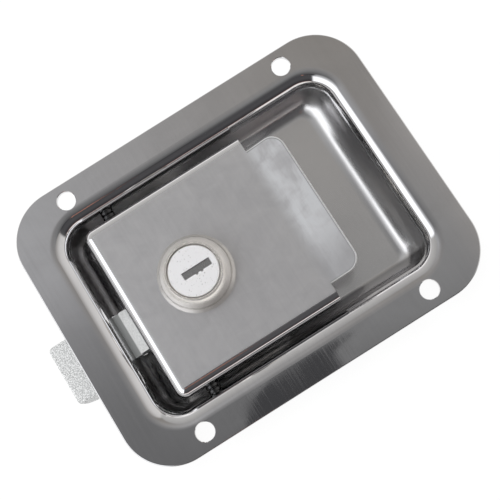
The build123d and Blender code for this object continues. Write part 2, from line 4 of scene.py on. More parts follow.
import bmesh
import bpy
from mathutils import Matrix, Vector


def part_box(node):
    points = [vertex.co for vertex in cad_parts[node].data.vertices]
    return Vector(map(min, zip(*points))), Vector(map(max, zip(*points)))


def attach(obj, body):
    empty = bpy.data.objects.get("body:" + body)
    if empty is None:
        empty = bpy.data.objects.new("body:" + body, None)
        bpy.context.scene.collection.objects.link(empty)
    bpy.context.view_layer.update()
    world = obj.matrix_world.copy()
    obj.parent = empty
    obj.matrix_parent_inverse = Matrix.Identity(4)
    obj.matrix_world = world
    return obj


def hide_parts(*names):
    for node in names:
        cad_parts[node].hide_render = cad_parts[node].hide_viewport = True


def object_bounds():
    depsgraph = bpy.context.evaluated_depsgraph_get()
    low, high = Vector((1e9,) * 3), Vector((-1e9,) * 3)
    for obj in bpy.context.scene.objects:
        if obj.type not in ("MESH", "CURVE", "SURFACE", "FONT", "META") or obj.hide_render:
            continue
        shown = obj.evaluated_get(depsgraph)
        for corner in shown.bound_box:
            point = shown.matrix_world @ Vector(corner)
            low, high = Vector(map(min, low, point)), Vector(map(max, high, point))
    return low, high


# Finishes, a smooth pan and the studio for a flush paddle latch, in the latch's own frame: the
# origin is the middle of the flange's back face, +Z points to the front and the bolt points to
# -X. Blender takes metres; the sizes of the latch are written in millimetres.
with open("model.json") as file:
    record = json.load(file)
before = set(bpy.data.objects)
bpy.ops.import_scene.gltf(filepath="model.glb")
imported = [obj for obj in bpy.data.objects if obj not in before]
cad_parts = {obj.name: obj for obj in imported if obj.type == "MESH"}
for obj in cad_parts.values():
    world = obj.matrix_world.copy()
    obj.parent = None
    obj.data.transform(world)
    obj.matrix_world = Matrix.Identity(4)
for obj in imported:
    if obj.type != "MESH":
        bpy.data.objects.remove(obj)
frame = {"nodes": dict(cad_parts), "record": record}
solid_box = [list(corner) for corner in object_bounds()]

MM = 0.001


def in_mm(corners):
    """Corners of a box in millimetres."""
    return [corner / MM for corner in corners]


# Camera of the reference view: place in millimetres, turns in degrees
camera_place = Vector((-4.627, -50.013, 278.46)) * MM
camera_turn = (8.82, 4.29, -31.99)
camera_lens = 68.29
camera_sensor = 36.0

# Studio, in metres: a dome of light over a white floor, and one soft lamp
dome_radius = 6.0
dome_foot = -0.2
floor_radius = 6.5
floor_gap = 0.0003
floor_self_light = 0.9
floor_white = 1.04
paper_colour = (0.8, 0.8, 0.8)
world_colour = (1.0, 1.0, 1.0)
fill_level = 0.44
lamp_place = (-0.06, 0.04, 0.50)
lamp_size = 0.25
lamp_power = 2.2

# Dark card at the camera, seen only in the polished steel. The outline is its reflection in the
# flange's plane, in millimetres.
card_colour = (0.058, 0.058, 0.061)
card_outline = ((-32, -60), (-26.5, -45.5), (-25.5, -43), (-24.3, -41.5), (-22.5, -40.4),
                (-20.5, -39.7), (-16.5, -38.7), (-11.5, -38.0), (-7, -37.7), (-2, -37.6),
                (2, -37.7), (5.5, -38.0), (9.5, -38.5), (14, -39.1), (11, -39.7),
                (7.5, -40.2), (5.6, -40.9), (4.8, -42.0), (5.0, -44.0), (6.0, -60))

# Warm strip, a thin tint in the steel's bends: its distance in metres, its azimuths from +X
# towards +Y and its tilts from straight up, in degrees
strip_distance = 5.5
strip_turns = (247, 261)
strip_tilts = (17.5, 21.5)
strip_colour = (0.62, 0.26, 0.18)

# Light of the dome. Its ramps keep their colours below 1, divided by dome_scale, and the glow
# makes up for it. The ceiling follows the direction's own X and Y; each stop is (Y, colour).
dome_scale = 2.0
dome_level = 0.75
ceiling_side = (-0.18, 0.20)
ceiling_depth = (-0.25, 0.35)
ceiling_left = ((-0.22, (0.12, 0.12, 0.122)), (0.0, (0.20, 0.20, 0.203)),
                (0.11, (0.25, 0.25, 0.254)), (0.17, (0.33, 0.33, 0.335)),
                (0.24, (0.51, 0.51, 0.518)), (0.28, (0.56, 0.56, 0.568)))
ceiling_right = ((-0.22, (0.13, 0.13, 0.13)), (-0.09, (0.22, 0.22, 0.22)),
                 (0.03, (0.34, 0.34, 0.34)), (0.10, (0.385, 0.38, 0.375)),
                 (0.20, (0.375, 0.36, 0.345)), (0.31, (0.38, 0.36, 0.335)))
# Sides of the dome: the azimuth of the middle, half the width and the soft edge, in degrees. A
# side starts where the direction's own part towards its middle passes from the first value to
# the second. Each stop is (tilt from straight up in degrees, colour).
side_tilts = (0, 90)
dome_sides = {
    "near": {
        "middle": 270, "half": 38, "soft": 6, "start": (0.10, 0.24),
        "stops": ((8, (0.14, 0.14, 0.145)), (23, (0.10, 0.098, 0.103)),
                  (46, (0.11, 0.108, 0.113)), (65, (0.06, 0.058, 0.062)),
                  (71, (0.07, 0.06, 0.06)), (74, (0.42, 0.20, 0.16)),
                  (77, (1.35, 1.32, 1.29)), (90, (1.35, 1.32, 1.29)))},
    "right": {
        "middle": 0, "half": 44, "soft": 4, "start": (0.20, 0.26),
        "stops": ((13, (0.45, 0.43, 0.41)), (28, (0.68, 0.66, 0.64)), (37, (0.83, 0.81, 0.79)),
                  (47, (0.92, 0.90, 0.88)), (84, (1.02, 1.0, 0.97)), (86, (0.36, 0.20, 0.16)),
                  (89, (0.36, 0.20, 0.16)))},
    "far": {
        "middle": 100, "half": 62, "soft": 4, "start": (0.36, 0.46),
        "stops": ((24, (0.49, 0.485, 0.48)), (32, (0.56, 0.55, 0.54)),
                  (43, (0.61, 0.60, 0.585)), (54, (0.67, 0.66, 0.64)),
                  (72, (0.74, 0.725, 0.715)), (79, (1.05, 1.03, 1.01)),
                  (85, (1.50, 1.47, 1.45)))},
    "left": {
        "middle": 190, "half": 38, "soft": 4, "start": (0.20, 0.34),
        "stops": ((14, (0.45, 0.45, 0.455)), (24, (0.62, 0.62, 0.63)),
                  (28, (0.80, 0.81, 0.83)), (33, (1.25, 1.26, 1.29)), (38, (1.90, 1.92, 1.96)),
                  (69, (1.90, 1.92, 1.96)), (73, (0.45, 0.44, 0.43)), (78, (0.45, 0.44, 0.43)),
                  (81, (0.95, 0.93, 0.92)))},
}

# Pan, in millimetres: the solid's form, with the softer bends that its reflections show. A bend
# is one or more arcs, each (its last slope in degrees, its radius).
pan_low, pan_high = in_mm(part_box("pan"))
pan_sheet = 1.5
pan_front = pan_high.z
pan_floor = pan_low.z + pan_sheet
flange_corner = 16.0
flange_edge_round = 0.4
recess_half_length = 46.3
recess_half_width = 32.3
recess_corner = 7.5
lip_bends = ((12, 9.0), (90, 4.5))
floor_bends = ((90, 5.0),)
far_floor_bends = ((90, 8.2),)
# Steps of a quarter turn, and the angle in degrees over which an edge stays sharp
corner_steps = 24
bend_steps = 18
edge_steps = 4
sharp_angle = 35

# Holes of the pan, in millimetres
screw_hole_radius = 2.9
screw_hole_ease = 0.15
screw_half_pitch = (38.5, 40.5)
notch_start = -50.0
notch_end = -43.0
notch_low_y = -10.3
notch_high_y = 4.9
notch_top_z = -8.8
notch_corner = 1.0
opening_low = (-35.0, -16.6)
opening_high = (-4.6, 11.5)
opening_corner = 4.0
hole_play = 0.05
rivet_radius = 1.5
hole_steps = 48
outline_steps = 8

# Paddle, in millimetres: the flat inside its bends, and the finger tab
paddle_low, paddle_high = in_mm(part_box("paddle"))
paddle_bend = 3.2
paddle_flat_end = paddle_low.x + paddle_bend
paddle_flat_side = paddle_high.y - paddle_bend
tab_root = 15.4
tab_tip = 26.2
tab_half_width = 23.7
tab_corner = 4.5


def new_material(name):
    """Material with an empty node tree, and its output node."""
    material = bpy.data.materials.new(name)
    material.use_nodes = True
    tree = material.node_tree
    tree.nodes.clear()
    output = tree.nodes.new("ShaderNodeOutputMaterial")
    return material, tree, output


def feed(tree, socket, value):
    """Links a socket or gives it a value; a colour comes as three numbers."""
    if isinstance(value, bpy.types.NodeSocket):
        tree.links.new(value, socket)
    elif socket.type == "RGBA":
        socket.default_value = (*value, 1.0)
    else:
        socket.default_value = value


def add_node(tree, kind, inputs=None, **settings):
    """Node with its settings; an input takes a value or the socket that feeds it."""
    node = tree.nodes.new(kind)
    for name, value in settings.items():
        setattr(node, name, value)
    for name, value in (inputs or {}).items():
        feed(tree, node.inputs[name], value)
    return node


def math_node(tree, operation, first, second=0.0, third=0.0, clamp=False):
    """Result of a sum, product or comparison of two values, or of a product and a sum."""
    node = add_node(tree, "ShaderNodeMath", {0: first, 1: second, 2: third},
                    operation=operation, use_clamp=clamp)
    return node.outputs[0]


def product(tree, first, second):
    """Product of two values."""
    return math_node(tree, "MULTIPLY", first, second)


def length_of(tree, x, y):
    """Length of a level vector."""
    level = add_node(tree, "ShaderNodeCombineXYZ", {"X": x, "Y": y})
    node = add_node(tree, "ShaderNodeVectorMath", {0: level.outputs[0]}, operation="LENGTH")
    return node.outputs["Value"]


def map_range(tree, value, before, after, **settings):
    """A value carried from one range to another, and kept inside it."""
    node = add_node(tree, "ShaderNodeMapRange",
                    {"Value": value, "From Min": before[0], "From Max": before[1],
                     "To Min": after[0], "To Max": after[1]}, **settings)
    return node.outputs["Result"]


def fade(tree, place, stretch):
    """0 to 1 as a place passes from the start to the end of a stretch in millimetres."""
    return map_range(tree, place, [end * MM for end in stretch], (0.0, 1.0))


def parts_of(tree, vector):
    """X, Y and Z of a vector."""
    return add_node(tree, "ShaderNodeSeparateXYZ", {0: vector}).outputs


def place_of(tree):
    """Place on the piece, in its own coordinates."""
    return add_node(tree, "ShaderNodeTexCoord").outputs["Object"]


def noise(tree, place, scale, look):
    """Noise of a scale, drawn as a look says."""
    node = add_node(tree, "ShaderNodeTexNoise", {"Vector": place, "Scale": scale, **look})
    return node.outputs["Fac"]


def mixed_value(tree, factor, first, second):
    """Blend of two values; 2 and 3 are the Mix node's sockets for them."""
    return add_node(tree, "ShaderNodeMix", {0: factor, 2: first, 3: second}).outputs[0]


def mixed_colour(tree, factor, first, second):
    """Blend of two colours; 6 and 7 are the Mix node's sockets for them."""
    node = add_node(tree, "ShaderNodeMix", {0: factor, 6: first, 7: second}, data_type="RGBA")
    return node.outputs[2]


def bump_of(tree, height, depth, normal=None):
    """Bump of a height field so deep in millimetres, over another normal where one is given."""
    inputs = {"Height": height, "Strength": 1.0, "Distance": depth * MM}
    if normal is not None:
        inputs["Normal"] = normal
    return add_node(tree, "ShaderNodeBump", inputs).outputs[0]


def metal_shader(tree, output, colour, rough, normal, metallic=1.0):
    """Metal surface from its colour, roughness and normal."""
    shader = add_node(tree, "ShaderNodeBsdfPrincipled",
                      {"Base Color": colour, "Metallic": metallic, "Roughness": rough,
                       "Normal": normal})
    tree.links.new(shader.outputs[0], output.inputs["Surface"])


# Shared effects: how their noises are drawn. The broad streaks have a share of the fine lines'
# scale; a speck shows where its noise passes the limit, which falls as their share grows.
streak_share = 0.33
line_look = {"Detail": 2.0, "Roughness": 0.6}
cloud_look = {"Detail": 3.0, "Roughness": 0.55, "Distortion": 0.6}
cloud_range = (0.3, 0.7)
wave_look = {"Detail": 0.0}
speck_look = {"Detail": 1.0}
speck_limits = (0.8, 0.3)
speck_sharpness = 12.0
sand_look = {"Detail": 2.0}
sand_fineness = 2.2


def new_group(name, inputs, outputs):
    """Shader node group with named inputs (name: kind, value) and outputs (name: kind)."""
    group = bpy.data.node_groups.new(name, "ShaderNodeTree")
    for label, (kind, value) in inputs.items():
        socket = group.interface.new_socket(label, in_out="INPUT", socket_type=kind)
        if value is not None:
            socket.default_value = value
    for label, kind in outputs.items():
        group.interface.new_socket(label, in_out="OUTPUT", socket_type=kind)
    entry = group.nodes.new("NodeGroupInput")
    leave = group.nodes.new("NodeGroupOutput")
    return group, entry.outputs, leave.inputs


def hairline_group():
    """Brushed hairlines along Y: long thin streaks in two widths."""
    group, given, made = new_group(
        "brushed_hairlines",
        {"Place": ("NodeSocketVector", None), "Line Width": ("NodeSocketFloat", 0.3 * MM),
         "Line Length": ("NodeSocketFloat", 30 * MM)},
        {"Streaks": "NodeSocketFloat", "Fine Lines": "NodeSocketFloat"})
    across = math_node(group, "DIVIDE", 1.0, given["Line Width"])
    along = math_node(group, "DIVIDE", 1.0, given["Line Length"])
    for output, share in (("Streaks", streak_share), ("Fine Lines", 1.0)):
        wide = product(group, across, share)
        long = product(group, along, share)
        scale = add_node(group, "ShaderNodeCombineXYZ", {"X": wide, "Y": long, "Z": wide})
        place = add_node(group, "ShaderNodeVectorMath",
                         {0: given["Place"], 1: scale.outputs[0]}, operation="MULTIPLY")
        group.links.new(noise(group, place.outputs[0], 1.0, line_look), made[output])
    return group


def smudge_group():
    """Soft cloudy patches, as handling and polishing leave them, and smooth waves."""
    group, given, made = new_group(
        "soft_smudges",
        {"Place": ("NodeSocketVector", None), "Patch Size": ("NodeSocketFloat", 12 * MM)},
        {"Clouds": "NodeSocketFloat", "Waves": "NodeSocketFloat"})
    scale = math_node(group, "DIVIDE", 1.0, given["Patch Size"])
    clouds = noise(group, given["Place"], scale, cloud_look)
    group.links.new(map_range(group, clouds, cloud_range, (0.0, 1.0)), made["Clouds"])
    group.links.new(noise(group, given["Place"], scale, wave_look), made["Waves"])
    return group


def speck_group():
    """Fine pits and dark specks of a cast or plated surface."""
    group, given, made = new_group(
        "pits_and_specks",
        {"Place": ("NodeSocketVector", None), "Speck Size": ("NodeSocketFloat", 0.6 * MM),
         "Share": ("NodeSocketFloat", 0.1)},
        {"Specks": "NodeSocketFloat", "Sand": "NodeSocketFloat"})
    scale = math_node(group, "DIVIDE", 1.0, given["Speck Size"])
    limit = map_range(group, given["Share"], (0.0, 1.0), speck_limits)
    above = math_node(group, "SUBTRACT", noise(group, given["Place"], scale, speck_look), limit)
    mask = math_node(group, "MULTIPLY", above, speck_sharpness, clamp=True)
    group.links.new(mask, made["Specks"])
    finer = product(group, scale, sand_fineness)
    group.links.new(noise(group, given["Place"], finer, sand_look), made["Sand"])
    return group


def hairlines(tree, groups, place, width, length):
    """Brushed hairlines of a width and a length in millimetres."""
    inputs = {"Place": place, "Line Width": width * MM, "Line Length": length * MM}
    return add_node(tree, "ShaderNodeGroup", inputs, node_tree=groups["hairlines"]).outputs


def smudges(tree, groups, place, size):
    """Soft smudges of a size in millimetres."""
    inputs = {"Place": place, "Patch Size": size * MM}
    return add_node(tree, "ShaderNodeGroup", inputs, node_tree=groups["smudges"]).outputs


def specks(tree, groups, place, size, share):
    """Specks of a size in millimetres over a share of the surface."""
    inputs = {"Place": place, "Speck Size": size * MM, "Share": share}
    return add_node(tree, "ShaderNodeGroup", inputs, node_tree=groups["specks"]).outputs


def shade_of(tree, lines, clouds, cloud_share):
    """Hairlines and clouds weighed into one value, dark to pale."""
    streak = product(tree, lines, 1.0 - cloud_share)
    cloud = product(tree, clouds, cloud_share)
    return math_node(tree, "ADD", streak, cloud)


def rougher(tree, rough, mask, amount):
    """A roughness with so much more where a mask is 1."""
    return math_node(tree, "MULTIPLY_ADD", mask, amount, rough)


# Every metal: the part of its shade that its colours and roughness follow, and its soft smudges
shade_range = (0.2, 0.8)
brushed_smudge_size = 12.0
brushed_smudge_share = 0.5
cast_smudge_size = 6.0

# Polished steel of the pan. Pairs go from the dark shade to the pale one. Sizes and stretches
# are in millimetres, and a stretch goes from where a fade starts to where it ends.
pan_colours = ((0.72, 0.717, 0.727), (0.84, 0.837, 0.847))
pan_floor_colours = ((0.86, 0.857, 0.86), (0.98, 0.975, 0.975))
pan_back_colours = ((0.36, 0.36, 0.365), (0.50, 0.50, 0.505))
# Painted shade: a dark colour deep in the narrow gaps beside the paddle
pan_gap_shade_colour = (0.37, 0.365, 0.37)
pan_roughness = (0.09, 0.04)
pan_line_width = 0.35
pan_line_length = 40.0
pan_line_depth = 0.0012
pan_smudge_size = 16.0
pan_smudge_share = 0.6
pan_wave_size = 26.0
pan_wave_depth = 0.03
flange_stretch = (pan_front - 0.6, pan_front - 0.1)
wall_stretch = (-0.8, -2.5)
recess_stretch = (-2.0, -6.0)
floor_stretch = (pan_floor + 2.5, pan_floor + 0.5)
bottom_stretch = (pan_floor + 0.25, pan_floor + 0.05)
recess_dullness = 0.13
wall_dullness = 0.16
scratch_range = (0.50, 0.66)
scratch_dullness = 0.06
back_dullness = 0.22
# Where the painted shade of the gaps beside the paddle lies
gap_end_x = -38.0
gap_side_y = -27.5
gap_edge_stretch = (0.0, 1.0)
gap_stretch = (-2.0, -5.0)


def gap_shade_beside_paddle(tree, parts):
    """1 deep in the narrow gaps beside the paddle, where painted shade darkens the pan."""
    past_end = math_node(tree, "SUBTRACT", gap_end_x * MM, parts["X"])
    past_side = math_node(tree, "SUBTRACT", gap_side_y * MM, parts["Y"])
    beside = fade(tree, math_node(tree, "MAXIMUM", past_end, past_side), gap_edge_stretch)
    return product(tree, beside, fade(tree, parts["Z"], gap_stretch))


def pan_colour(tree, parts, shade, floor, back):
    """Colour of the pan: pale on the recess's floor, dark on the back, and painted shade in the
    gaps beside the paddle.
    """
    colour = mixed_colour(tree, shade, *pan_colours)
    colour = mixed_colour(tree, floor, colour, mixed_colour(tree, shade, *pan_floor_colours))
    colour = mixed_colour(tree, back, colour, mixed_colour(tree, shade, *pan_back_colours))
    # Painted shade deep in the gaps beside the paddle
    return mixed_colour(tree, gap_shade_beside_paddle(tree, parts), colour, pan_gap_shade_colour)


def pan_dullness(tree, height, shade, scratches, floor, back):
    """Roughness of the pan: more in the recess, on its walls, in scratches and on the back."""
    rough = map_range(tree, shade, shade_range, pan_roughness)
    rough = rougher(tree, rough, fade(tree, height, recess_stretch), recess_dullness)
    wall = math_node(tree, "SUBTRACT", fade(tree, height, wall_stretch), floor)
    rough = rougher(tree, rough, wall, wall_dullness)
    rough = rougher(tree, rough, scratches, scratch_dullness)
    return rougher(tree, rough, back, back_dullness)


def pan_steel(groups):
    """Polished steel with hairlines, faint waves and smudges, duller inside the recess."""
    material, tree, output = new_material("polished_pan_steel")
    place = place_of(tree)
    parts = parts_of(tree, place)
    height = parts["Z"]
    floor = fade(tree, height, floor_stretch)
    flange = fade(tree, height, flange_stretch)
    flats = math_node(tree, "MAXIMUM", fade(tree, height, bottom_stretch), flange)
    back = add_node(tree, "ShaderNodeAttribute", attribute_name="back_side").outputs["Fac"]
    lines = hairlines(tree, groups, place, pan_line_width, pan_line_length)
    clouds = smudges(tree, groups, place, pan_smudge_size)
    waves = smudges(tree, groups, place, pan_wave_size)
    shade = shade_of(tree, lines["Streaks"], clouds["Clouds"], pan_smudge_share)
    colour = pan_colour(tree, parts, shade, floor, back)
    scratches = map_range(tree, lines["Fine Lines"], scratch_range, (0.0, 1.0))
    scratches = product(tree, scratches, flange)
    rough = pan_dullness(tree, height, shade, scratches, floor, back)
    wavy = bump_of(tree, waves["Waves"], pan_wave_depth)
    brushing = product(tree, lines["Fine Lines"], flats)
    metal_shader(tree, output, colour, rough, bump_of(tree, brushing, pan_line_depth, wavy))
    return material


# Satin steel of the paddle. Pairs go from the dark shade to the pale one; sizes and stretches
# are in millimetres, those of the rim and the glint measured from the tab's outline.
paddle_colours = ((0.67, 0.67, 0.685), (0.90, 0.90, 0.915))
paddle_bend_colour = (0.90, 0.90, 0.91)
paddle_roughness = (0.56, 0.46)
paddle_bend_roughness = 0.10
paddle_line_width = 0.35
paddle_line_length = 22.0
paddle_line_depth = 0.006
paddle_smudge_size = 8.0
paddle_smudge_share = 0.6
paddle_flat_stretch = (0.4, 0.0)
tab_stretch = (14.0, 17.0)
# Pale smears on the tab: partly real smears, partly painted sheen that weakens towards the near
# end
smear_and_sheen_colour = (0.965, 0.98, 1.0)
smear_width = 2.2
smear_length = 9.0
smear_smudge_share = 0.4
smear_range = (0.34, 0.66)
smear_near_share = 0.2
smear_stretch = (-22.0, -4.0)
# Painted shade: the tab is darkened towards its near end
tab_near_shade_colour = (0.48, 0.48, 0.49)
tab_near_shade_share = 0.5
tab_near_shade_stretch = (-8.0, -20.0)
# Painted reflection on the tab's rounded edge: a dark rim line and a white glint
rim_shade_colour = (0.50, 0.50, 0.51)
rim_start_stretch = (tab_root, tab_root + 0.1)
rim_stretch = (-0.70, -0.45)
glint_colour = (1.0, 1.0, 1.0)
glint_stretch = (-0.40, -0.25)


def tab_edge_distance(tree, along, side):
    """Distance from the tab's rounded outline, negative on the tab."""
    past_tip = math_node(tree, "SUBTRACT", along, (tab_tip - tab_corner) * MM)
    past_side = math_node(tree, "SUBTRACT", side, (tab_half_width - tab_corner) * MM)
    reach = length_of(tree, math_node(tree, "MAXIMUM", past_tip, 0.0),
                      math_node(tree, "MAXIMUM", past_side, 0.0))
    nearer = math_node(tree, "MAXIMUM", past_tip, past_side)
    inner = math_node(tree, "MINIMUM", nearer, 0.0)
    distance = math_node(tree, "ADD", reach, inner)
    return math_node(tree, "SUBTRACT", distance, tab_corner * MM)


def tab_smears_sheen_and_shade(tree, groups, place, parts, clouds, colour):
    """Colour of the paddle with the tab's pale smears, partly painted sheen that weakens towards
    the near end, and painted shade at that near end.
    """
    tab = fade(tree, parts["X"], tab_stretch)
    streaks = hairlines(tree, groups, place, smear_width, smear_length)
    smear = shade_of(tree, streaks["Fine Lines"], clouds, smear_smudge_share)
    smear = map_range(tree, smear, smear_range, (0.0, 1.0))
    # Painted sheen: the smears weaken towards the tab's near end
    fading = map_range(tree, fade(tree, parts["Y"], smear_stretch), (0.0, 1.0),
                       (smear_near_share, 1.0))
    smear = product(tree, product(tree, smear, fading), tab)
    colour = mixed_colour(tree, smear, colour, smear_and_sheen_colour)
    # Painted shade towards the tab's near end
    near_shade = product(tree, fade(tree, parts["Y"], tab_near_shade_stretch), tab_near_shade_share)
    return mixed_colour(tree, product(tree, near_shade, tab), colour, tab_near_shade_colour)


def tab_rim_shade_and_glint(tree, along, side, colour):
    """Colour of the paddle with a painted dark reflection round the tab's rim and a painted glint
    on its edge.
    """
    edge = tab_edge_distance(tree, along, side)
    on_tab = fade(tree, along, rim_start_stretch)
    rim = product(tree, fade(tree, edge, rim_stretch), on_tab)
    glint = product(tree, rim, fade(tree, edge, glint_stretch))
    colour = mixed_colour(tree, rim, colour, rim_shade_colour)
    return mixed_colour(tree, glint, colour, glint_colour)


def paddle_steel(groups):
    """Satin steel: brushed and smudged on the flat, bright on the bends; on the tab, smears with
    painted sheen, painted shade and a painted reflection at its edge.
    """
    material, tree, output = new_material("satin_paddle_steel")
    place = place_of(tree)
    parts = parts_of(tree, place)
    side = math_node(tree, "ABSOLUTE", parts["Y"])
    past_side = math_node(tree, "SUBTRACT", side, paddle_flat_side * MM)
    past_end = math_node(tree, "SUBTRACT", paddle_flat_end * MM, parts["X"])
    past_flat = math_node(tree, "MAXIMUM", past_side, past_end)
    flat = fade(tree, past_flat, paddle_flat_stretch)
    lines = hairlines(tree, groups, place, paddle_line_width, paddle_line_length)
    clouds = smudges(tree, groups, place, paddle_smudge_size)
    shade = shade_of(tree, lines["Streaks"], clouds["Clouds"], paddle_smudge_share)
    colour = mixed_colour(tree, shade, *paddle_colours)
    colour = tab_smears_sheen_and_shade(tree, groups, place, parts, clouds["Clouds"], colour)
    colour = tab_rim_shade_and_glint(tree, parts["X"], side, colour)
    colour = mixed_colour(tree, flat, paddle_bend_colour, colour)
    rough = map_range(tree, shade, shade_range, paddle_roughness)
    rough = mixed_value(tree, flat, paddle_bend_roughness, rough)
    brushing = product(tree, lines["Fine Lines"], flat)
    metal_shader(tree, output, colour, rough, bump_of(tree, brushing, paddle_line_depth))
    return material


# Nickel of the key cylinder's collar: satin on the dome, polished on the ring at its foot.
# Sizes, and stretches of radius, are in millimetres.
collar_colours = ((0.90, 0.87, 0.82), (0.97, 0.94, 0.90))
collar_speck_colour = (0.70, 0.67, 0.62)
collar_speck_size = 0.7
collar_speck_share = 0.12
collar_sand_depth = 0.004
collar_metallic = 0.88
collar_roughness = (0.27, 0.10)
collar_ring_stretch = (10.3, 10.6)
collar_foot_stretch = (11.7, 10.5)
collar_foot_depth = 0.6


def collar_nickel(groups):
    """Satin dome, and a polished ring that slopes away at its foot."""
    material, tree, output = new_material("satin_nickel_collar")
    place = place_of(tree)
    low, high = in_mm(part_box("lock_body"))
    parts = parts_of(tree, place)
    off = math_node(tree, "SUBTRACT", parts["X"], (low.x + high.x) / 2 * MM)
    radius = length_of(tree, off, parts["Y"])
    foot = fade(tree, radius, collar_foot_stretch)
    marks = specks(tree, groups, place, collar_speck_size, collar_speck_share)
    clouds = smudges(tree, groups, place, cast_smudge_size)
    colour = mixed_colour(tree, clouds["Clouds"], *collar_colours)
    colour = mixed_colour(tree, marks["Specks"], colour, collar_speck_colour)
    rough = map_range(tree, fade(tree, radius, collar_ring_stretch), (0.0, 1.0),
                      collar_roughness)
    sandy = bump_of(tree, marks["Sand"], collar_sand_depth)
    metal_shader(tree, output, colour, rough, bump_of(tree, foot, collar_foot_depth, sandy),
                 collar_metallic)
    return material


# Cast zinc of the bolt: pale and sandy on the head outside the pan, grey on the neck as painted
# shade under the pan's wall, pale again on the shoulder beside the paddle. Sizes, and stretches
# along X, are in millimetres.
# Painted shade: the neck's grey stands for the shadow under the pan's wall
bolt_neck_shade_colour = (0.33, 0.34, 0.34)
bolt_pale_colour = (0.84, 0.85, 0.85)
bolt_speck_colour = (0.46, 0.47, 0.47)
bolt_speck_size = 0.34
bolt_speck_share = 0.68
bolt_sand_depth = 0.04
bolt_roughness = 0.5
bolt_metallic = 0.3
bolt_head_stretch = (-50.0, -52.0)
bolt_shoulder_stretch = (-44.4, -44.0)
bolt_shoulder_skin = 0.35


def bolt_zinc(groups):
    """Cast zinc: sandy on the head outside the pan, smoother inside, with painted shade greying
    the neck.
    """
    material, tree, output = new_material("sandy_cast_zinc")
    place = place_of(tree)
    along = parts_of(tree, place)["X"]
    head = fade(tree, along, bolt_head_stretch)
    shoulder = fade(tree, along, bolt_shoulder_stretch)
    marks = specks(tree, groups, place, bolt_speck_size, bolt_speck_share)
    pale = math_node(tree, "MAXIMUM", head, shoulder)
    # Painted shade on the neck; the head and shoulder keep the zinc's pale colour
    colour = mixed_colour(tree, pale, bolt_neck_shade_colour, bolt_pale_colour)
    cast_skin = math_node(tree, "MULTIPLY_ADD", shoulder, bolt_shoulder_skin, head)
    dark = product(tree, marks["Specks"], cast_skin)
    colour = mixed_colour(tree, dark, colour, bolt_speck_colour)
    sandy = product(tree, marks["Sand"], cast_skin)
    metal_shader(tree, output, colour, bolt_roughness, bump_of(tree, sandy, bolt_sand_depth),
                 bolt_metallic)
    return material


def brushed_metal(name, groups, dark, pale, roughness, line_width, line_length, depth):
    """Metal with hairlines along Y and soft smudges; its roughness goes from dark to pale."""
    material, tree, output = new_material(name)
    place = place_of(tree)
    lines = hairlines(tree, groups, place, line_width, line_length)
    clouds = smudges(tree, groups, place, brushed_smudge_size)
    shade = shade_of(tree, lines["Streaks"], clouds["Clouds"], brushed_smudge_share)
    rough = map_range(tree, shade, shade_range, roughness)
    metal_shader(tree, output, mixed_colour(tree, shade, dark, pale), rough,
                 bump_of(tree, lines["Fine Lines"], depth))
    return material


def cast_metal(name, groups, colour, speck_colour, roughness, speck_size, share, depth, metallic):
    """Cast or plated metal with pits, specks and a sandy surface."""
    material, tree, output = new_material(name)
    place = place_of(tree)
    marks = specks(tree, groups, place, speck_size, share)
    clouds = smudges(tree, groups, place, cast_smudge_size)
    mixed = mixed_colour(tree, marks["Specks"], colour, speck_colour)
    rough = map_range(tree, clouds["Clouds"], (0.0, 1.0), roughness)
    height = math_node(tree, "SUBTRACT", marks["Sand"], marks["Specks"])
    metal_shader(tree, output, mixed, rough, bump_of(tree, height, depth), metallic)
    return material


def make_finishes():
    """One material for each finish that the record names."""
    groups = {"hairlines": hairline_group(), "smudges": smudge_group(), "specks": speck_group()}
    return {
        "pan_steel": pan_steel(groups),
        "paddle_steel": paddle_steel(groups),
        "zinc_plate": cast_metal(
            "bright_zinc_plate", groups, colour=(0.66, 0.66, 0.64),
            speck_colour=(0.45, 0.44, 0.40), roughness=(0.28, 0.40), speck_size=1.2,
            share=0.25, depth=0.004, metallic=1.0),
        "bright_steel": brushed_metal(
            "turned_steel", groups, dark=(0.48, 0.48, 0.48), pale=(0.62, 0.62, 0.62),
            roughness=(0.30, 0.18), line_width=0.3, line_length=4, depth=0.002),
        # Painted shade: the hinge pin and washers are near black so they sink into the dark gaps
        # beside the paddle
        "dark_steel": brushed_metal(
            "steel_dark_as_shade", groups, dark=(0.05, 0.05, 0.05), pale=(0.08, 0.08, 0.083),
            roughness=(0.22, 0.12), line_width=0.3, line_length=3, depth=0.002),
        "spring_wire": brushed_metal(
            "oiled_spring_wire", groups, dark=(0.30, 0.29, 0.28), pale=(0.42, 0.41, 0.40),
            roughness=(0.36, 0.22), line_width=0.3, line_length=3, depth=0.002),
        "cast_zinc": bolt_zinc(groups),
        "collar_nickel": collar_nickel(groups),
        "face_nickel": cast_metal(
            "pale_nickel_face", groups, colour=(0.94, 0.94, 0.955),
            speck_colour=(0.50, 0.50, 0.50), roughness=(0.30, 0.46), speck_size=0.45,
            share=0.25, depth=0.008, metallic=0.6),
        "wafer_brass": brushed_metal(
            "wafer_brass", groups, dark=(0.66, 0.48, 0.24), pale=(0.78, 0.60, 0.32),
            roughness=(0.34, 0.22), line_width=0.3, line_length=4, depth=0.002),
    }


def dress_solids(finishes):
    """Gives every solid the finish that the record names for it."""
    for subpart in frame["record"]["subparts"]:
        piece = frame["nodes"][subpart["node"]]
        piece.data.materials.clear()
        piece.data.materials.append(finishes[subpart["material_slot"]])


def bend_place(bends, slope):
    """Way from the wall and way from the flat, at a slope on a bend of one or more radii."""
    run = 0.0
    fall = 0.0
    low = 0.0
    for high_degrees, radius in bends:
        high = math.radians(high_degrees)
        here = min(max(slope, low), high)
        run += radius * (math.sin(high) - math.sin(here))
        fall += radius * (math.cos(low) - math.cos(here))
        low = high
    return run, fall


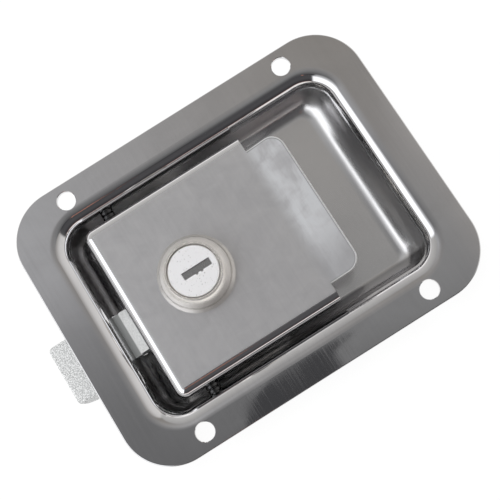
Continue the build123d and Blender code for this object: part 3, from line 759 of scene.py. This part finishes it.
def rounded_ring(half_x, half_y, corner, z, far_x=None, far_z=None):
    """Rounded rectangle, whose +X side can lie and rise differently from the other three."""
    far_x = half_x if far_x is None else far_x
    far_z = z if far_z is None else far_z
    points = []
    for quarter in range(4):
        side_x = 1 if quarter in (0, 3) else -1
        side_y = 1 if quarter < 2 else -1
        reach = far_x if side_x > 0 else half_x
        for step in range(corner_steps + 1):
            share = step / corner_steps
            turn = math.radians(90 * (quarter + share))
            blend = {0: 1 - share, 3: share}.get(quarter, 0.0)
            blend = blend * blend * (3 - 2 * blend)
            points.append(Vector((side_x * (reach - corner) + corner * math.cos(turn),
                                  side_y * (half_y - corner) + corner * math.sin(turn),
                                  z + (far_z - z) * blend)))
    return points


def recess_ring(out, z, slope, depth, far_out, far_z):
    """Ring round the recess, so far out from its wall; depth is the way into the sheet."""
    out += depth * math.sin(slope)
    far_out += depth * math.sin(slope)
    sink = depth * math.cos(slope)
    return rounded_ring(recess_half_length + out, recess_half_width + out, recess_corner + out,
                        z - sink, recess_half_length + far_out, far_z - sink)


def recess_rings(depth):
    """Rings from the recess's floor up the bend, the wall and the lip to the flange."""
    slopes = [math.radians(90 * step / bend_steps) for step in range(bend_steps + 1)]
    rings = []
    for slope in slopes:
        run, rise = bend_place(floor_bends, slope)
        far_run, far_rise = bend_place(far_floor_bends, slope)
        rings.append(recess_ring(-run, pan_floor + rise, slope, depth, -far_run,
                                 pan_floor + far_rise))
    for slope in reversed(slopes):
        run, fall = bend_place(lip_bends, slope)
        rings.append(recess_ring(run, pan_front - fall, slope, depth, run, pan_front - fall))
    return rings


def flange_rings():
    """Rings of the flange's outer edge, from its back up round the front corner."""
    rings = [rounded_ring(pan_high.x, pan_high.y, flange_corner, pan_front - pan_sheet)]
    for step in range(edge_steps + 1):
        turn = math.radians(90 * step / edge_steps)
        trim = flange_edge_round * (1 - math.cos(turn))
        z = pan_front - flange_edge_round * (1 - math.sin(turn))
        rings.append(rounded_ring(pan_high.x - trim, pan_high.y - trim, flange_corner - trim, z))
    return rings


def add_rings(mesh, rings, back_rows=0):
    """Skin over rings of points, closed at both ends; its first rows can be marked as the back."""
    layers = mesh.faces.layers.float
    back = layers.get("back_side") or layers.new("back_side")
    rows = [[mesh.verts.new(point * MM) for point in ring] for ring in rings]
    for number, (row, following) in enumerate(zip(rows, rows[1:])):
        for index in range(len(row)):
            beside = index - 1
            face = mesh.faces.new((row[beside], row[index], following[index], following[beside]))
            face[back] = float(number < back_rows)
    mesh.faces.new(rows[0])[back] = float(back_rows > 0)
    mesh.faces.new(rows[-1])


def add_prism(mesh, outline, ends, axis):
    """Closed prism from one end to the other along an axis: 0 is X, 1 is Y and 2 is Z."""
    add_rings(mesh, [[Vector((*point[:axis], end, *point[axis:])) for point in outline]
                     for end in ends])


def finished_mesh(mesh, name):
    """Object of a finished bmesh, its faces turned outward."""
    bmesh.ops.recalc_face_normals(mesh, faces=mesh.faces)
    data = bpy.data.meshes.new(name)
    mesh.to_mesh(data)
    mesh.free()
    piece = bpy.data.objects.new(name, data)
    bpy.context.scene.collection.objects.link(piece)
    return piece


def circle(x, y, radius):
    """Points of a circle about a place."""
    turns = [math.tau * step / hole_steps for step in range(hole_steps)]
    return [(x + radius * math.cos(turn), y + radius * math.sin(turn)) for turn in turns]


def rounded_outline(low, high, radii):
    """Outline of a rectangle; radii are its corners' from the upper right, anticlockwise."""
    points = []
    for quarter, radius in enumerate(radii):
        x = high[0] - radius if quarter in (0, 3) else low[0] + radius
        y = high[1] - radius if quarter < 2 else low[1] + radius
        for step in range(outline_steps + 1 if radius else 1):
            turn = math.radians(90 * (quarter + step / outline_steps))
            points.append((x + radius * math.cos(turn), y + radius * math.sin(turn)))
    return points


def add_screw_holes(mesh):
    """Four screw holes through the flange, eased at the front."""
    levels = ((-pan_sheet, 0), (pan_front - screw_hole_ease, 0), (pan_front, screw_hole_ease),
              (pan_front + pan_sheet, screw_hole_ease))
    for side_x, side_y in ((1, 1), (-1, 1), (-1, -1), (1, -1)):
        x = side_x * screw_half_pitch[0]
        y = side_y * screw_half_pitch[1]
        add_rings(mesh, [[Vector((*point, z)) for point in
                          circle(x, y, screw_hole_radius + wider)] for z, wider in levels])


def add_hinge_holes(mesh):
    """The hinge pin's holes, through both long walls at once."""
    low, high = in_mm(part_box("hinge_pin"))
    reach = high.y + pan_sheet
    outline = circle((low.x + high.x) / 2, (low.z + high.z) / 2,
                     (high.x - low.x) / 2 + hole_play)
    add_prism(mesh, outline, (-reach, reach), 1)


def add_rivet_holes(mesh, ends):
    """Holes of the bracket's rivets through the recess's floor."""
    low, high = in_mm(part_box("bracket_rivets"))
    half_head = (high.x - low.x) / 2
    for y in (low.y + half_head, high.y - half_head):
        add_prism(mesh, circle((low.x + high.x) / 2, y, rivet_radius + hole_play), ends, 2)


def hole_cutter():
    """Every hole of the pan as one cutter."""
    mesh = bmesh.new()
    below = pan_low.z - pan_sheet
    floor_ends = (below, pan_floor + pan_sheet)
    add_screw_holes(mesh)
    notch = rounded_outline((notch_low_y, below), (notch_high_y, notch_top_z),
                            (notch_corner, notch_corner, 0, 0))
    add_prism(mesh, notch, (notch_start, notch_end), 0)
    opening = rounded_outline(opening_low, opening_high, (opening_corner,) * 4)
    add_prism(mesh, opening, floor_ends, 2)
    add_hinge_holes(mesh)
    add_rivet_holes(mesh, floor_ends)
    return finished_mesh(mesh, "pan_holes")


def evaluated(piece, name):
    """New object from a piece with its modifiers applied; the old one goes."""
    graph = bpy.context.evaluated_depsgraph_get()
    data = bpy.data.meshes.new_from_object(piece.evaluated_get(graph))
    data.name = name
    made = bpy.data.objects.new(name, data)
    bpy.context.scene.collection.objects.link(made)
    bpy.data.objects.remove(piece)
    return made


def make_pan(material):
    """Pressed pan as one smooth skin, its holes cut through."""
    mesh = bmesh.new()
    back = recess_rings(pan_sheet)
    add_rings(mesh, back + flange_rings() + recess_rings(0.0)[::-1], len(back))
    blank = finished_mesh(mesh, "pan_blank")
    cutter = hole_cutter()
    cut = blank.modifiers.new("holes", "BOOLEAN")
    cut.operation = "DIFFERENCE"
    cut.solver = "EXACT"
    cut.object = cutter
    drilled = evaluated(blank, "pan_drilled")
    bpy.data.objects.remove(cutter)
    drilled.data.shade_smooth()
    drilled.data.set_sharp_from_angle(angle=math.radians(sharp_angle))
    even = drilled.modifiers.new("even_shading", "WEIGHTED_NORMAL")
    even.keep_sharp = True
    pan = evaluated(drilled, "pan_pressing")
    pan.data.materials.clear()
    pan.data.materials.append(material)
    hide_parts("pan")
    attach(pan, "frame")


def seen_as_background(tree):
    """1 for the rays that see the background: camera, glossy and transmission."""
    rays = add_node(tree, "ShaderNodeLightPath").outputs
    seen = math_node(tree, "MAXIMUM", rays["Is Camera Ray"], rays["Is Glossy Ray"])
    return math_node(tree, "MAXIMUM", seen, rays["Is Transmission Ray"])


def make_floor():
    """White floor just under the latch, open to a view from below; it keeps the shadow."""
    bpy.ops.mesh.primitive_circle_add(vertices=96, radius=floor_radius, fill_type="NGON")
    floor = bpy.context.object
    floor.name = "floor"
    for corner in floor.data.vertices:
        corner.co.z = solid_box[0][2] - floor_gap
    material, tree, output = new_material("white_paper")
    share = product(tree, seen_as_background(tree), floor_self_light)
    paper = add_node(tree, "ShaderNodeBsdfDiffuse", {"Color": paper_colour})
    glow = add_node(tree, "ShaderNodeEmission", {"Strength": floor_white})
    mixed = add_node(tree, "ShaderNodeMixShader",
                     {0: share, 1: paper.outputs[0], 2: glow.outputs[0]})
    clear = add_node(tree, "ShaderNodeBsdfTransparent")
    below = add_node(tree, "ShaderNodeNewGeometry").outputs["Backfacing"]
    one_sided = add_node(tree, "ShaderNodeMixShader",
                         {0: below, 1: mixed.outputs[0], 2: clear.outputs[0]})
    tree.links.new(one_sided.outputs[0], output.inputs["Surface"])
    floor.data.materials.append(material)


def light_ramp(tree, value, ends, stops):
    """Light that follows a value between two ends; each stop is (value, colour)."""
    low, high = ends
    node = add_node(tree, "ShaderNodeValToRGB", {"Fac": map_range(tree, value, ends, (0.0, 1.0))})
    elements = node.color_ramp.elements
    while len(elements) < len(stops):
        elements.new(1.0)
    for element, (at, colour) in zip(elements, stops):
        element.position = (at - low) / (high - low)
        element.color = [channel / dome_scale for channel in colour] + [1.0]
    return node.outputs["Color"]


def side_mask(tree, way, level_way, side):
    """1 on one side of the dome: near enough to its middle azimuth, and far enough out."""
    turn = math.radians(side["middle"])
    middle_way = (math.cos(turn), math.sin(turn), 0.0)
    across = add_node(tree, "ShaderNodeVectorMath", {0: level_way, 1: middle_way},
                      operation="DOT_PRODUCT").outputs["Value"]
    edges = [math.cos(math.radians(side["half"] + step * side["soft"])) for step in (1, -1)]
    within = map_range(tree, across, edges, (0.0, 1.0), interpolation_type="SMOOTHSTEP")
    outward = add_node(tree, "ShaderNodeVectorMath", {0: way, 1: middle_way},
                       operation="DOT_PRODUCT").outputs["Value"]
    beyond = map_range(tree, outward, side["start"], (0.0, 1.0),
                       interpolation_type="SMOOTHSTEP")
    return product(tree, within, beyond)


def dome_light():
    """Light of the dome: a grey ceiling that darkens towards the camera, and four sides."""
    material, tree, output = new_material("dome_light")
    way = add_node(tree, "ShaderNodeVectorMath", {0: place_of(tree)},
                   operation="NORMALIZE").outputs[0]
    parts = parts_of(tree, way)
    flat = add_node(tree, "ShaderNodeCombineXYZ", {"X": parts["X"], "Y": parts["Y"]})
    level_way = add_node(tree, "ShaderNodeVectorMath", {0: flat.outputs[0]},
                         operation="NORMALIZE").outputs[0]
    tilt = math_node(tree, "DEGREES", math_node(tree, "ARCCOSINE", parts["Z"]))
    right_share = map_range(tree, parts["X"], ceiling_side, (0.0, 1.0))
    light = mixed_colour(tree, right_share,
                         light_ramp(tree, parts["Y"], ceiling_depth, ceiling_left),
                         light_ramp(tree, parts["Y"], ceiling_depth, ceiling_right))
    for side in dome_sides.values():
        mask = side_mask(tree, way, level_way, side)
        light = mixed_colour(tree, mask, light, light_ramp(tree, tilt, side_tilts, side["stops"]))
    glow = add_node(tree, "ShaderNodeEmission",
                    {"Color": light, "Strength": dome_scale * dome_level})
    tree.links.new(glow.outputs[0], output.inputs["Surface"])
    return material


def make_dome():
    """Dome of light round the latch, open to the camera."""
    bpy.ops.mesh.primitive_uv_sphere_add(segments=64, ring_count=32, radius=dome_radius)
    dome = bpy.context.object
    dome.name = "light_dome"
    mesh = bmesh.new()
    mesh.from_mesh(dome.data)
    low = [corner for corner in mesh.verts if corner.co.z < dome_foot]
    bmesh.ops.delete(mesh, geom=low, context="VERTS")
    bmesh.ops.reverse_faces(mesh, faces=mesh.faces)
    mesh.to_mesh(dome.data)
    mesh.free()
    dome.data.materials.append(dome_light())
    dome.visible_camera = False
    dome.visible_shadow = False


def make_card(name, corners, colour):
    """Flat card of one plain light, seen only in the polished steel."""
    mesh = bmesh.new()
    mesh.faces.new([mesh.verts.new(corner) for corner in corners])
    card = finished_mesh(mesh, name)
    material, tree, output = new_material(f"{name}_light")
    glow = add_node(tree, "ShaderNodeEmission", {"Color": colour})
    tree.links.new(glow.outputs[0], output.inputs["Surface"])
    card.data.materials.append(material)
    card.visible_camera = False
    card.visible_shadow = False


def dark_card_corners():
    """Corners of the dark card, level with the camera, from its reflection in the flange."""
    return [Vector((2 * x * MM - camera_place.x, 2 * y * MM - camera_place.y, camera_place.z))
            for x, y in card_outline]


def warm_strip_corners():
    """Corners of the warm strip, between its azimuths and its tilts."""
    corners = []
    for turn, tilt in ((0, 0), (1, 0), (1, 1), (0, 1)):
        azimuth = math.radians(strip_turns[turn])
        lean = math.radians(strip_tilts[tilt])
        way = Vector((math.sin(lean) * math.cos(azimuth), math.sin(lean) * math.sin(azimuth),
                      math.cos(lean)))
        corners.append(way * strip_distance)
    return corners


def make_world():
    """White to the eye, dimmer for the rest: the dome gives the light."""
    world = bpy.data.worlds.new("studio")
    world.use_nodes = True
    tree = world.node_tree
    tree.nodes.clear()
    level = map_range(tree, seen_as_background(tree), (0.0, 1.0), (fill_level, 1.0))
    back = add_node(tree, "ShaderNodeBackground", {"Color": world_colour, "Strength": level})
    output = tree.nodes.new("ShaderNodeOutputWorld")
    tree.links.new(back.outputs[0], output.inputs["Surface"])
    bpy.context.scene.world = world


def make_lamp():
    """Soft square lamp aimed at the latch."""
    data = bpy.data.lights.new("key_lamp", "AREA")
    data.size = lamp_size
    data.energy = lamp_power
    lamp = bpy.data.objects.new("key_lamp", data)
    lamp.location = lamp_place
    lamp.rotation_euler = (-Vector(lamp_place)).to_track_quat("-Z", "Y").to_euler()
    lamp.visible_camera = False
    lamp.visible_glossy = False
    bpy.context.scene.collection.objects.link(lamp)


def make_camera():
    """Camera at the reference view."""
    data = bpy.data.cameras.new("reference_camera")
    data.lens = camera_lens
    data.sensor_width = camera_sensor
    camera = bpy.data.objects.new("reference_camera", data)
    camera.location = camera_place
    camera.rotation_euler = [math.radians(angle) for angle in camera_turn]
    bpy.context.scene.collection.objects.link(camera)
    bpy.context.scene.camera = camera


def main():
    """Dress the latch and build the studio round it."""
    finishes = make_finishes()
    dress_solids(finishes)
    make_pan(finishes["pan_steel"])
    make_floor()
    make_dome()
    make_card("dark_card", dark_card_corners(), card_colour)
    make_card("warm_strip", warm_strip_corners(), strip_colour)
    make_world()
    make_lamp()
    make_camera()
    bpy.context.scene.view_settings.view_transform = "Standard"


main()
